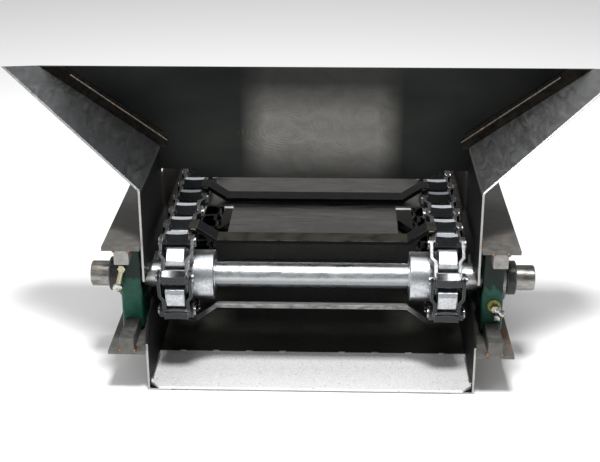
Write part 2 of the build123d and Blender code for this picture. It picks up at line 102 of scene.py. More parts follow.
def band(tree, value, low, high, bottom=0.0, top=1.0):
    """Map a value from low..high to bottom..top, clamped."""
    inputs = {"Value": value, "From Min": low, "From Max": high, "To Min": bottom, "To Max": top}
    return put(tree, "MapRange", inputs, clamp=True).outputs["Result"]


def sums(tree, operation, first, second):
    node = put(tree, "Math", operation=operation)
    for slot, value in enumerate((first, second)):
        if isinstance(value, bpy.types.NodeSocket):
            tree.links.new(value, node.inputs[slot])
        else:
            node.inputs[slot].default_value = value
    return node.outputs["Value"]


def absolute(tree, value):
    return sums(tree, "ABSOLUTE", value, 0.0)


def blend(tree, factor, first, second, mode="MIX"):
    """Mix two colours, each a socket or an (r, g, b) tuple."""
    node = put(tree, "Mix", data_type="RGBA", blend_type=mode)
    for slot, value in ((0, factor), (6, first), (7, second)):
        if isinstance(value, bpy.types.NodeSocket):
            tree.links.new(value, node.inputs[slot])
        elif slot == 0:
            node.inputs[slot].default_value = value
        else:
            node.inputs[slot].default_value = (*value, 1.0)
    return node.outputs[2]


def bumped(tree, height, distance, strength=1.0, edge=0.0006):
    """Bump over a slightly rounded edge."""
    rounded = put(tree, "Bevel", {"Radius": edge}, samples=4).outputs["Normal"] if edge else None
    inputs = {"Height": height, "Distance": distance, "Strength": strength}
    if rounded:
        inputs["Normal"] = rounded
    return put(tree, "Bump", inputs).outputs["Normal"]


def rubbed_edges(tree, radius, patches):
    """1 along convex and concave edges, broken up by a noise."""
    rounded = put(tree, "Bevel", {"Radius": radius}, samples=4).outputs["Normal"]
    flat = put(tree, "NewGeometry").outputs["Normal"]
    match = put(tree, "VectorMath", {0: rounded, 1: flat}, operation="DOT_PRODUCT").outputs["Value"]
    edge = band(tree, match, 0.90, 0.99, 1.0, 0.0)
    return sums(tree, "MULTIPLY", edge, band(tree, patches, 0.35, 0.6))


def axis_value(tree, axis):
    """A coordinate of the point in the assembly at rest."""
    coords = put(tree, "TexCoord").outputs["Object"]
    return put(tree, "SeparateXYZ", {"Vector": coords}).outputs[axis]


def facing(tree, axis):
    """A component of the face's own normal."""
    normal = put(tree, "TexCoord").outputs["Normal"]
    return put(tree, "SeparateXYZ", {"Vector": normal}).outputs[axis]


def face_turned(tree, axis, limit):
    """1 where a face's own normal is past a limit along an axis, or below it if the limit is negative."""
    return sums(tree, "LESS_THAN" if limit < 0 else "GREATER_THAN", facing(tree, axis), limit)


def material(name, metallic=1.0):
    look = bpy.data.materials.new(name)
    look.use_nodes = True
    tree = look.node_tree
    shader = tree.nodes["Principled BSDF"]
    shader.inputs["Metallic"].default_value = metallic
    return look, tree, shader


def finish_look(tree, shader, colour, rough, normal):
    tree.links.new(colour, shader.inputs["Base Color"])
    tree.links.new(rough, shader.inputs["Roughness"])
    tree.links.new(normal, shader.inputs["Normal"])


# ---------------------------------------------------------------- materials
# where looks change on the assembly
plate_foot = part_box("back_plate")[0][2]
fold_height, fold_blend = plate_foot + 0.05, 0.004
right_half_from, right_half_to = 0.1, 0.12
strip_back, strip_front = 0.004, 0.006
# placing of the painted reflection patch on the back plate; its height also centres the sanding swirls
swirl_and_reflection_height, reflection_patch_x = plate_foot + 0.078, 0.012
reflection_half_width, reflection_half_height = (0.085, 0.125), (0.02, 0.075)
plated_to, bare_from = 0.236, 0.244


def swirls(tree, centre, ring, reach, size=1.0):
    """Sanding swirls: distorted rings about a point on an upright sheet, fading with distance."""
    coords = put(tree, "TexCoord").outputs["Object"]
    moved = put(tree, "Mapping", {"Vector": coords, "Location": [-c for c in centre]}).outputs["Vector"]
    flat = put(tree, "Mapping", {"Vector": moved, "Scale": (1.0 / size, 0.0, 1.6 / size)}).outputs["Vector"]
    rings = put(
        tree,
        "TexWave",
        {"Vector": flat, "Scale": ring, "Distortion": 6.0, "Detail": 2.0, "Detail Scale": 0.9},
        wave_type="RINGS",
        rings_direction="SPHERICAL",
    ).outputs["Fac"]
    distance = put(tree, "VectorMath", {0: flat}, operation="LENGTH").outputs["Value"]
    fade = band(tree, distance, reach * 0.35, reach, 1.0, 0.0)
    patchy = band(tree, noise(tree, flat, scale=18.0, detail=2.0), 0.35, 0.6)
    return sums(tree, "MULTIPLY", rings, sums(tree, "MULTIPLY", fade, patchy))


def hopper_sheet():
    """Side sheets: brushed and streaked above the fold, the right-hand panel painted lighter as a painted
    sheen, and the walls painted near black as painted shade, with rust spots and specks.
    """
    look, tree, shader = material("side_sheet_steel")
    brushed = spot(tree, (1, 0.25, 1), (0, 0, 0.25))
    streak = noise(tree, brushed, scale=60.0, detail=6.0, roughness=0.7, distortion=1.5)
    broad = noise(tree, spot(tree, (1, 0.5, 1)), scale=7.0, detail=3.0, roughness=0.5, distortion=0.8)
    fine = noise(tree, spot(tree, (1, 0.04, 1)), scale=420.0, detail=2.0)
    bright = blend(tree, band(tree, streak, 0.3, 0.75), (0.09, 0.093, 0.096), (0.34, 0.345, 0.35))
    bright = blend(tree, band(tree, broad, 0.35, 0.7), bright, (0.15, 0.154, 0.158))
    right_side = band(tree, axis_value(tree, "X"), right_half_from, right_half_to)
    # the right-hand panel above the fold is painted lighter, a painted sheen where light falls on it more;
    # the same mask keeps the rust spots to the right wall
    bright = blend(tree, sums(tree, "MULTIPLY", right_side, 0.35), bright, (0.42, 0.42, 0.415))
    # the walls are painted near black: painted shade for the dark they reflect, with rust spots and specks
    # added on top
    wall_shade_and_spots = blend(tree, band(tree, broad, 0.3, 0.7), (0.001, 0.0011, 0.0011), (0.004, 0.0042, 0.004))
    rust_spots = band(tree, noise(tree, spot(tree), scale=55.0, detail=6.0, roughness=0.7), 0.66, 0.72)
    wall_shade_and_spots = blend(tree, sums(tree, "MULTIPLY", rust_spots, right_side), wall_shade_and_spots, (0.10, 0.05, 0.028))
    specks = put(tree, "TexVoronoi", {"Vector": spot(tree), "Scale": 95.0}).outputs["Distance"]
    sparse = band(tree, noise(tree, spot(tree), scale=14.0, detail=2.0), 0.56, 0.62)
    specks = sums(tree, "MULTIPLY", band(tree, specks, 0.05, 0.08, 0.7, 0.0), sparse)
    wall_shade_and_spots = blend(tree, specks, wall_shade_and_spots, (0.3, 0.3, 0.29))
    # the walls stand over 0.2 from the middle, so past 0.1 the face is turned outwards
    outward = sums(tree, "MULTIPLY", facing(tree, "X"), axis_value(tree, "X"))
    outside = sums(tree, "GREATER_THAN", outward, 0.1)
    scale = blend(tree, band(tree, broad, 0.3, 0.7), (0.030, 0.032, 0.034), (0.075, 0.077, 0.078))
    scale = blend(tree, band(tree, streak, 0.5, 0.8, 0.0, 0.5), scale, (0.11, 0.11, 0.108))
    wall_shade_and_spots = blend(tree, outside, wall_shade_and_spots, scale)
    above = band(tree, axis_value(tree, "Z"), fold_height - fold_blend, fold_height + fold_blend)
    colour = blend(tree, above, wall_shade_and_spots, bright)
    strip = band(tree, axis_value(tree, "Y"), plate_front - strip_front, plate_front - strip_back)
    corner = sums(tree, "MULTIPLY", strip, sums(tree, "SUBTRACT", 1.0, outside))
    strip_tone = blend(tree, band(tree, streak, 0.3, 0.7), (0.012, 0.011, 0.010), (0.034, 0.029, 0.024))
    colour = blend(tree, corner, colour, strip_tone)
    cut = sums(tree, "MULTIPLY", face_turned(tree, "Y", -0.9), sums(tree, "SUBTRACT", 1.0, strip))
    colour = blend(tree, cut, colour, (0.42, 0.42, 0.41))
    tree.links.new(sums(tree, "MAXIMUM", above, cut), shader.inputs["Metallic"])
    rough = band(tree, streak, 0.2, 0.8, 0.34, 0.5)
    rough = sums(tree, "MAXIMUM", rough, band(tree, above, 0.0, 1.0, 0.6, 0.0))
    shader.inputs["Specular IOR Level"].default_value = 0.15
    finish_look(tree, shader, colour, rough, bumped(tree, fine, distance=0.00012, strength=0.35))
    return look


def back_sheet():
    """Back plate: painted near black as painted shade, with sanding swirls in arcs and a painted reflection
    patch across the middle.
    """
    look, tree, shader = material("back_plate_steel")
    grain = noise(tree, spot(tree, (0.05, 1, 1)), scale=300.0, detail=3.0)
    cloud = noise(tree, spot(tree, (0.6, 1, 1)), scale=6.0, detail=3.0, roughness=0.5, distortion=0.6)
    # the front of the sheet is painted near black, a painted shade for the dark it reflects
    dark = blend(tree, band(tree, cloud, 0.3, 0.7), (0.010, 0.011, 0.011), (0.026, 0.028, 0.026))
    plate_y = middle("back_plate").y
    arcs = swirls(tree, (-0.045, plate_y, swirl_and_reflection_height), ring=46.0, reach=0.11)
    more = swirls(tree, (0.06, plate_y, swirl_and_reflection_height - 0.012), ring=52.0, reach=0.10, size=0.9)
    arcs = sums(tree, "MAXIMUM", arcs, more)
    # a lighter patch across the middle of the front face: a painted reflection, with ragged edges
    across = absolute(tree, sums(tree, "SUBTRACT", axis_value(tree, "X"), reflection_patch_x))
    panel = band(tree, across, *reflection_half_width, 1.0, 0.0)
    upright = absolute(tree, sums(tree, "SUBTRACT", axis_value(tree, "Z"), swirl_and_reflection_height))
    lift = band(tree, upright, *reflection_half_height, 1.0, 0.15)
    painted_reflection = sums(tree, "MULTIPLY", panel, lift)
    patches = noise(tree, spot(tree, (1, 1, 1.4)), scale=26.0, detail=4.0, roughness=0.6, distortion=1.2)
    ragged = band(tree, patches, 0.3, 0.65, 0.7, 1.0)
    painted_reflection = sums(tree, "MULTIPLY", sums(tree, "MULTIPLY", painted_reflection, ragged), face_turned(tree, "Y", -0.9))
    rolled = blend(tree, band(tree, cloud, 0.3, 0.7), (0.035, 0.037, 0.039), (0.085, 0.087, 0.088))
    dark = blend(tree, face_turned(tree, "Y", 0.9), dark, rolled)
    colour = blend(tree, painted_reflection, dark, (0.155, 0.15, 0.14))
    colour = blend(tree, band(tree, arcs, 0.35, 0.95, 0.0, 0.2), colour, (0.25, 0.24, 0.22))
    rough = band(tree, grain, 0.2, 0.8, 0.36, 0.46)
    height = sums(tree, "ADD", grain, sums(tree, "MULTIPLY", arcs, 0.5))
    finish_look(tree, shader, colour, rough, bumped(tree, height, distance=0.0002, strength=0.4))
    return look


def worn_sheet(name, dark, light, scale, rough_low, rough_high, stretch=(0.15, 1, 1), bump=0.0002):
    """Bare sheet or bar with stretched rolling marks and blotches."""
    look, tree, shader = material(name)
    lines = noise(tree, spot(tree, stretch), scale, detail=5.0, roughness=0.65, distortion=0.4)
    blotch = noise(tree, spot(tree), scale * 0.12, detail=4.0, roughness=0.6, distortion=1.0)
    colour = blend(tree, band(tree, lines, 0.3, 0.7), dark, light)
    shade = tuple((d + l) / 2.6 for d, l in zip(dark, light))
    colour = blend(tree, band(tree, blotch, 0.45, 0.75), colour, shade)
    rough = band(tree, lines, 0.25, 0.75, rough_low, rough_high)
    finish_look(tree, shader, colour, rough, bumped(tree, lines, bump, strength=0.5))
    return look


def rusty_sheet(
    name, dark, light, rust_from, rust_to, scale=70.0, rough=(0.45, 0.65), metal=1.0, low_shade=0.0
):
    """Mill-scale steel with rust where the noise is high. low_shade darkens what lies below the shaft."""
    look, tree, shader = material(name)
    mottle = noise(tree, spot(tree), scale, detail=6.0, roughness=0.7)
    broad = noise(tree, spot(tree), scale * 0.22, detail=4.0, roughness=0.6, distortion=0.8)
    colour = blend(tree, band(tree, mottle, 0.3, 0.7), dark, light)
    rust = band(tree, broad, rust_from, rust_to)
    rust_tone = blend(tree, band(tree, mottle, 0.35, 0.7), (0.09, 0.032, 0.012), (0.26, 0.11, 0.045))
    colour = blend(tree, rust, colour, rust_tone)
    if low_shade:
        low = band(tree, axis_value(tree, "Z"), tail.z - 0.01, tail.z, low_shade, 0.0)
        colour = blend(tree, low, colour, (0.10, 0.10, 0.095), "MULTIPLY")
    tree.links.new(band(tree, rust, 0.0, 1.0, metal, 0.1 * metal), shader.inputs["Metallic"])
    roughness = band(tree, mottle, 0.3, 0.7, *rough)
    finish_look(tree, shader, colour, roughness, bumped(tree, mottle, distance=0.0003, strength=0.5))
    return look


def cast_zinc(name, tone=(0.50, 0.52, 0.54), grain=260.0, depth=0.00055):
    """Bright plating over a grainy casting, darker in the pits."""
    look, tree, shader = material(name)
    pits = noise(tree, spot(tree), grain, detail=5.0, roughness=0.7)
    broad = noise(tree, spot(tree), scale=28.0, detail=3.0)
    grey = tuple(0.55 * c for c in tone)
    colour = blend(tree, band(tree, pits, 0.3, 0.62), grey, tone)
    colour = blend(tree, band(tree, broad, 0.6, 0.8, 0.0, 0.4), colour, (0.32, 0.34, 0.36))
    rough = band(tree, pits, 0.3, 0.7, 0.42, 0.26)
    finish_look(tree, shader, colour, rough, bumped(tree, pits, depth, strength=0.6, edge=0.0012))
    return look


def plated_shaft():
    """Tail shaft: zinc plated between the walls, bare and heat tinted at the ends, the plating painted
    darker on its undersides as painted shade.
    """
    look, tree, shader = material("tail_shaft_steel")
    turned = noise(tree, spot(tree, (1, 0.02, 0.02)), scale=900.0, detail=2.0)
    mottle = noise(tree, spot(tree, (0.4, 1, 1)), scale=90.0, detail=5.0, roughness=0.7)
    zinc = blend(tree, band(tree, mottle, 0.3, 0.7), (0.40, 0.42, 0.43), (0.66, 0.68, 0.70))
    bare = blend(tree, band(tree, mottle, 0.35, 0.7), (0.12, 0.11, 0.10), (0.34, 0.335, 0.32))
    straw = band(tree, noise(tree, spot(tree), scale=26.0, detail=3.0), 0.6, 0.78)
    bare = blend(tree, straw, bare, (0.24, 0.17, 0.09))
    ends = band(tree, absolute(tree, axis_value(tree, "X")), plated_to, bare_from)
    # the undersides of the plating are painted darker: painted shade
    zinc = blend(tree, band(tree, facing(tree, "Z"), -0.15, 0.3, 0.85, 0.0), zinc, (0.16, 0.165, 0.17))
    colour = blend(tree, ends, zinc, bare)
    rough = band(tree, mottle, 0.3, 0.7, 0.22, 0.36)
    height = sums(tree, "ADD", mottle, sums(tree, "MULTIPLY", turned, 0.4))
    finish_look(tree, shader, colour, rough, bumped(tree, height, distance=0.00015, strength=0.5))
    return look


def oiled_black(
    name,
    tone,
    dust,
    dust_amount,
    rough_low=0.16,
    rough_high=0.4,
    shine=0.22,
    polish=0.0,
    edge_wear_and_glint=0.6,
    noses=0.0,
):
    """Black oiled steel with brown-grey dust on the faces that look up, thinned behind the back plate as
    painted shade.

    polish brightens the underside at the tail end; edge_wear_and_glint brightens the edges, real wear and a
    painted glint. noses is the half width of the strip along each strand where upward faces are painted
    bright, a painted highlight.
    """
    look, tree, shader = material(name)
    mottle = noise(tree, spot(tree), scale=140.0, detail=5.0, roughness=0.7)
    grime = noise(tree, spot(tree), scale=45.0, detail=4.0, roughness=0.6)
    upward = facing(tree, "Z")
    settled = sums(tree, "MULTIPLY", band(tree, upward, 0.9, 0.99), band(tree, grime, 0.25, 0.6))
    settled = sums(tree, "MULTIPLY", settled, dust_amount)
    # the dust is thinned behind the back plate so the parts there read darker: painted shade
    shade_behind_plate = band(tree, axis_value(tree, "Y"), plate_front - 0.03, plate_front, 1.0, 0.15)
    settled = sums(tree, "MULTIPLY", settled, shade_behind_plate)
    lighter = tuple(2.2 * c for c in tone)
    colour = blend(tree, band(tree, mottle, 0.35, 0.7), tone, lighter)
    colour = blend(tree, settled, colour, dust)
    # edges are painted bright: real edge wear and a painted glint
    rubbed_and_glint = sums(tree, "MULTIPLY", rubbed_edges(tree, radius=0.0012, patches=grime), edge_wear_and_glint)
    colour = blend(tree, rubbed_and_glint, colour, (0.42, 0.42, 0.43))
    if polish:
        scuffs = noise(tree, spot(tree, (1, 4, 4)), scale=60.0, detail=4.0, roughness=0.7)
        glint = band(tree, scuffs, 0.32, 0.6, 0.2, polish)
        under = band(tree, axis_value(tree, "Z"), tail.z - 0.03, tail.z - 0.02, 1.0, 0.0)
        tail_end = band(tree, axis_value(tree, "Y"), tail.y + 0.03, tail.y + 0.04, 1.0, 0.0)
        tail_end = sums(tree, "MULTIPLY", under, tail_end)
        across = absolute(tree, axis_value(tree, "X"))
        tail_end = sums(tree, "MULTIPLY", tail_end, band(tree, across, 0.135, 0.16, 1.0, 0.1))
        colour = blend(tree, sums(tree, "MULTIPLY", glint, tail_end), colour, (0.24, 0.24, 0.235))
    # upward faces along each strand are painted bright: a painted highlight on the link tops
    if noses:
        from_middle = absolute(tree, axis_value(tree, "X"))
        off_strand = absolute(tree, sums(tree, "SUBTRACT", from_middle, strand_x))
        on_strand = sums(tree, "LESS_THAN", off_strand, noses)
        painted_top_glint = sums(tree, "MULTIPLY", on_strand, sums(tree, "GREATER_THAN", upward, 0.93))
        colour = blend(tree, painted_top_glint, colour, (0.34, 0.35, 0.37))
        settled = sums(tree, "MULTIPLY", settled, sums(tree, "SUBTRACT", 1.0, painted_top_glint))
    tree.links.new(band(tree, settled, 0.0, 1.0, 0.1, 0.0), shader.inputs["Metallic"])
    shader.inputs["Specular IOR Level"].default_value = shine
    rough = band(tree, mottle, 0.3, 0.7, rough_low, rough_high)
    rough = sums(tree, "MAXIMUM", rough, sums(tree, "MULTIPLY", settled, 0.7))
    normal = bumped(tree, mottle, distance=0.0003, strength=0.5, edge=0.001)
    finish_look(tree, shader, colour, rough, normal)
    return look


def painted_casting():
    """Green gloss paint over a sand casting, dirty and chipped, with a painted shadow darkening the top."""
    look, tree, shader = material("green_paint", 0.0)
    skin = noise(tree, spot(tree), scale=130.0, detail=4.0, roughness=0.6)
    dirt = noise(tree, spot(tree), scale=24.0, detail=5.0, roughness=0.7, distortion=0.8)
    chips = band(tree, noise(tree, spot(tree), scale=75.0, detail=6.0, roughness=0.75), 0.70, 0.73)
    colour = blend(tree, band(tree, skin, 0.3, 0.7), (0.007, 0.055, 0.037), (0.012, 0.090, 0.058))
    # the top of the housing is painted near black with a ragged edge: a painted shadow under the wing plate
    ragged = sums(tree, "ADD", axis_value(tree, "Z"), band(tree, dirt, 0.3, 0.7, -0.022, 0.022))
    painted_shadow_top = band(tree, ragged, tail.z - 0.006, tail.z + 0.002, 0.0, 0.9)
    colour = blend(tree, painted_shadow_top, colour, (0.002, 0.009, 0.007))
    colour = blend(tree, band(tree, dirt, 0.5, 0.75, 0.0, 0.8), colour, (0.012, 0.016, 0.013))
    colour = blend(tree, chips, colour, (0.22, 0.23, 0.22))
    rough = band(tree, dirt, 0.3, 0.7, 0.24, 0.5)
    shader.inputs["Specular IOR Level"].default_value = 0.22
    finish_look(tree, shader, colour, rough, bumped(tree, skin, distance=0.0006, strength=0.5, edge=0.0015))
    return look


def galvanised_lip():
    """Near-white galvanised lip with fine speckle and scuffs."""
    look, tree, shader = material("lip_zinc", 0.35)
    speckle = noise(tree, spot(tree), scale=520.0, detail=3.0, roughness=0.8)
    scuffs = noise(tree, spot(tree, (0.2, 1, 1)), scale=35.0, detail=5.0, roughness=0.7, distortion=1.2)
    colour = blend(tree, band(tree, speckle, 0.35, 0.65), (0.62, 0.62, 0.62), (0.88, 0.88, 0.88))
    colour = blend(tree, band(tree, scuffs, 0.62, 0.75, 0.0, 0.4), colour, (0.45, 0.45, 0.44))
    pits = put(tree, "TexVoronoi", {"Vector": spot(tree), "Scale": 130.0}).outputs["Distance"]
    pits = band(tree, pits, 0.10, 0.16, 0.75, 0.0)
    crowded = band(tree, noise(tree, spot(tree), scale=45.0, detail=2.0), 0.42, 0.52)
    pits = sums(tree, "MULTIPLY", pits, crowded)
    colour = blend(tree, pits, colour, (0.20, 0.19, 0.17))
    rough = band(tree, speckle, 0.3, 0.7, 0.42, 0.6)
    finish_look(tree, shader, colour, rough, bumped(tree, speckle, distance=0.0002, strength=0.5))
    return look


def dark_floor_pan():
    """Floor pan: painted near black as painted shade, with faint patches."""
    look, tree, shader = material("floor_pan_painted_shade", 0.4)
    grain = noise(tree, spot(tree), scale=190.0, detail=5.0, roughness=0.7)
    patch = noise(tree, spot(tree), scale=16.0, detail=4.0, roughness=0.6, distortion=0.8)
    # near black all over: painted shade for the shaded floor seen under the machine
    colour = blend(tree, band(tree, grain, 0.3, 0.7), (0.006, 0.006, 0.005), (0.018, 0.018, 0.014))
    colour = blend(tree, band(tree, patch, 0.5, 0.7), colour, (0.022, 0.021, 0.015))
    rough = band(tree, grain, 0.3, 0.7, 0.55, 0.8)
    finish_look(tree, shader, colour, rough, bumped(tree, grain, distance=0.0003, strength=0.5))
    return look


looks = {
    "side_sheet": hopper_sheet(),
    "back_plate": back_sheet(),
    "deck_plate": worn_sheet(
        "deck_steel",
        dark=(0.10, 0.097, 0.088),
        light=(0.21, 0.205, 0.19),
        scale=130.0,
        rough_low=0.24,
        rough_high=0.42,
    ),
    "floor_pan": dark_floor_pan(),
    "lip_plate": galvanised_lip(),
    "guide_plate": rusty_sheet(
        "guide_plate_steel",
        dark=(0.05, 0.048, 0.042),
        light=(0.125, 0.121, 0.11),
        rust_from=0.60,
        rust_to=0.72,
        metal=0.1,
    ),
    "rail": rusty_sheet(
        "rail_steel",
        dark=(0.14, 0.137, 0.13),
        light=(0.32, 0.315, 0.30),
        rust_from=0.68,
        rust_to=0.8,
        scale=110.0,
        metal=0.5,
        low_shade=0.65,
    ),
    "housing_paint": painted_casting(),
    "bearing_steel": worn_sheet(
        "bearing_ring",
        dark=(0.10, 0.10, 0.10),
        light=(0.30, 0.30, 0.29),
        scale=220.0,
        rough_low=0.25,
        rough_high=0.4,
    ),
    "collar": oiled_black(
        "collar_black", tone=(0.020, 0.020, 0.021), dust=(0.10, 0.09, 0.07), dust_amount=0.3
    ),
    "grease_fitting": cast_zinc("fitting_plate", tone=(0.44, 0.41, 0.28), grain=500.0, depth=0.0001),
    "sprocket_zinc": cast_zinc("sprocket_zinc"),
    "tail_shaft": plated_shaft(),
    "drive_shaft": worn_sheet(
        "drive_shaft_steel",
        dark=(0.34, 0.34, 0.34),
        light=(0.58, 0.58, 0.58),
        scale=300.0,
        rough_low=0.22,
        rough_high=0.36,
    ),
    "chain_link": oiled_black(
        "chain_black",
        tone=(0.004, 0.005, 0.006),
        dust=(0.045, 0.037, 0.026),
        dust_amount=0.5,
        rough_low=0.14,
        rough_high=0.32,
        shine=0.4,
        noses=0.0152,
    ),
    "chain_pin": worn_sheet(
        "pin_steel",
        dark=(0.10, 0.10, 0.10),
        light=(0.45, 0.45, 0.46),
        scale=240.0,
        rough_low=0.16,
        rough_high=0.3,
    ),
    "flight": oiled_black(
        "flight_black",
        tone=(0.0015, 0.0015, 0.0018),
        dust=(0.030, 0.028, 0.021),
        dust_amount=0.9,
        rough_low=0.32,
        rough_high=0.5,
        shine=0.06,
        polish=0.9,
        edge_wear_and_glint=0.2,
    ),
    "fastener": cast_zinc("fastener_zinc", tone=(0.62, 0.62, 0.60), grain=400.0, depth=0.0001),
}
for part in record["subparts"]:
    for slot in frame["nodes"][part["node"]].material_slots:
        slot.material = looks[part["material_slot"]]

# ---------------------------------------------------------------- welds and small fittings
def mesh_object(name, shape, body, look, smooth=True):
    """Make an object of a finished bmesh that rides on a body."""
    data = bpy.data.meshes.new(name)
    shape.to_mesh(data)
    shape.free()
    data.materials.append(look)
    if smooth:
        data.shade_smooth()
    piece = bpy.data.objects.new(name, data)
    bpy.context.collection.objects.link(piece)
    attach(piece, body)


def sweep_rings(shape, rings):
    """Skin a run of rings of equal vertex counts, closed at both ends."""
    rows = [[shape.verts.new(point) for point in ring] for ring in rings]
    count = len(rows[0])
    for near, far in zip(rows, rows[1:]):
        for n in range(count):
            shape.faces.new((near[n], near[(n + 1) % count], far[(n + 1) % count], far[n]))
    shape.faces.new(list(reversed(rows[0])))
    shape.faces.new(rows[-1])


def bead(shape, start, end, size, step=0.0035, corners=8):
    """A weld bead of overlapping ripples from start to end."""
    start, end = Vector(start), Vector(end)
    along = end - start
    count = max(6, int(along.length / step) * 2)
    across = along.normalized().orthogonal().normalized()
    up = along.normalized().cross(across)
    rings = []
    for n in range(count + 1):
        swell = 0.45 if n in (0, count) else 1.0 if n % 2 else 0.86
        radius = size * swell * random.uniform(0.9, 1.1)
        centre = start + along * (n / count)
        turns = [math.tau * k / corners for k in range(corners)]
        rings.append([centre + (across * math.cos(t) + up * math.sin(t)) * radius for t in turns])
    sweep_rings(shape, rings)


def turned(shape, foot, axis, profile, count=24):
    """A turned solid of (distance along the axis, radius) pairs from its foot."""
    axis = Vector(axis).normalized()
    across = axis.orthogonal().normalized()
    up = axis.cross(across)
    turns = [math.tau * k / count for k in range(count)]
    rims = [across * math.cos(t) + up * math.sin(t) for t in turns]
    sweep_rings(shape, [[foot + axis * along + rim * radius for rim in rims] for along, radius in profile])


def ring_bead(shape, centre, radius, size, count=64, corners=6):
    """A weld bead round the X axis."""
    rows = []
    for n in range(count):
        turn = math.tau * n / count
        out = Vector((0, math.cos(turn), math.sin(turn)))
        fat = size * (1.0 if n % 2 else 0.8) * random.uniform(0.85, 1.15)
        ring = []
        for k in range(corners):
            t = math.tau * k / corners
            point = centre + out * (radius + fat * math.cos(t)) + Vector((fat * math.sin(t), 0, 0))
            ring.append(shape.verts.new(point))
        rows.append(ring)
    for n in range(count):
        near, far = rows[n], rows[(n + 1) % count]
        for k in range(corners):
            shape.faces.new((near[k], near[(k + 1) % corners], far[(k + 1) % corners], far[k]))


def near_x(box, side):
    """The x of a box's face nearest the middle of the assembly, on a side."""
    return side * min(abs(box[0][0]), abs(box[1][0]))


def far_x(box, side):
    return side * max(abs(box[0][0]), abs(box[1][0]))


weld_rust = rusty_sheet(
    "weld_rust", dark=(0.10, 0.06, 0.04), light=(0.30, 0.22, 0.16), rust_from=0.42, rust_to=0.6, scale=240.0
)
weld_zinc = cast_zinc("weld_zinc", tone=(0.70, 0.70, 0.69), grain=420.0, depth=0.0003)
weld_dark = rusty_sheet(
    "weld_dark",
    dark=(0.05, 0.045, 0.04),
    light=(0.16, 0.14, 0.12),
    rust_from=0.60,
    rust_to=0.7,
    scale=240.0,
)

# bead radii
wing_bead, shelf_bead, lug_bead = 0.0024, 0.0022, 0.0026
rail_bead, rail_inner_bead, rail_end_bead = 0.0026, 0.0022, 0.0033
lip_bead, lip_tack_bead = 0.0028, 0.0022
strip_bead, flight_bead = 0.0016, 0.0018
hub_bead, shaft_joint_bead = 0.0022, 0.0016

# where beads start and stop, in from the ends of the plates they join
wing_front_inset, shelf_front_inset, guide_back_inset = 0.015, 0.02, 0.01
lug_inset = 0.01
rail_tack, rail_inner_tack = 0.026, 0.02
rail_tack_places = 0.022, 0.13
rail_tack_back = 0.05
rail_end_over, rail_end_reach = 0.0012, 0.016
lip_front_inset, lip_back_inset = 0.018, 0.012
lip_tacks, lip_tack_first, lip_tack_pitch, lip_tack_length = 4, 0.04, 0.052, 0.012
lip_tack_sink = 0.0005
flight_gap, flight_outer_gap, flight_end_gap = 0.011, 0.001, 0.004
flight_bead_drop = 0.003

# corner strips in front of the back plate, measured from the walls and the tail shaft
strip_inset, strip_spread, strip_forward = 0.016, 0.128, 0.0035
strip_foot_rise, strip_head_rise = 0.172, 0.2755

# tail hubs
hub_radius, hub_joint_x, shaft_joint_radius = 0.037, 0.184, 0.0205

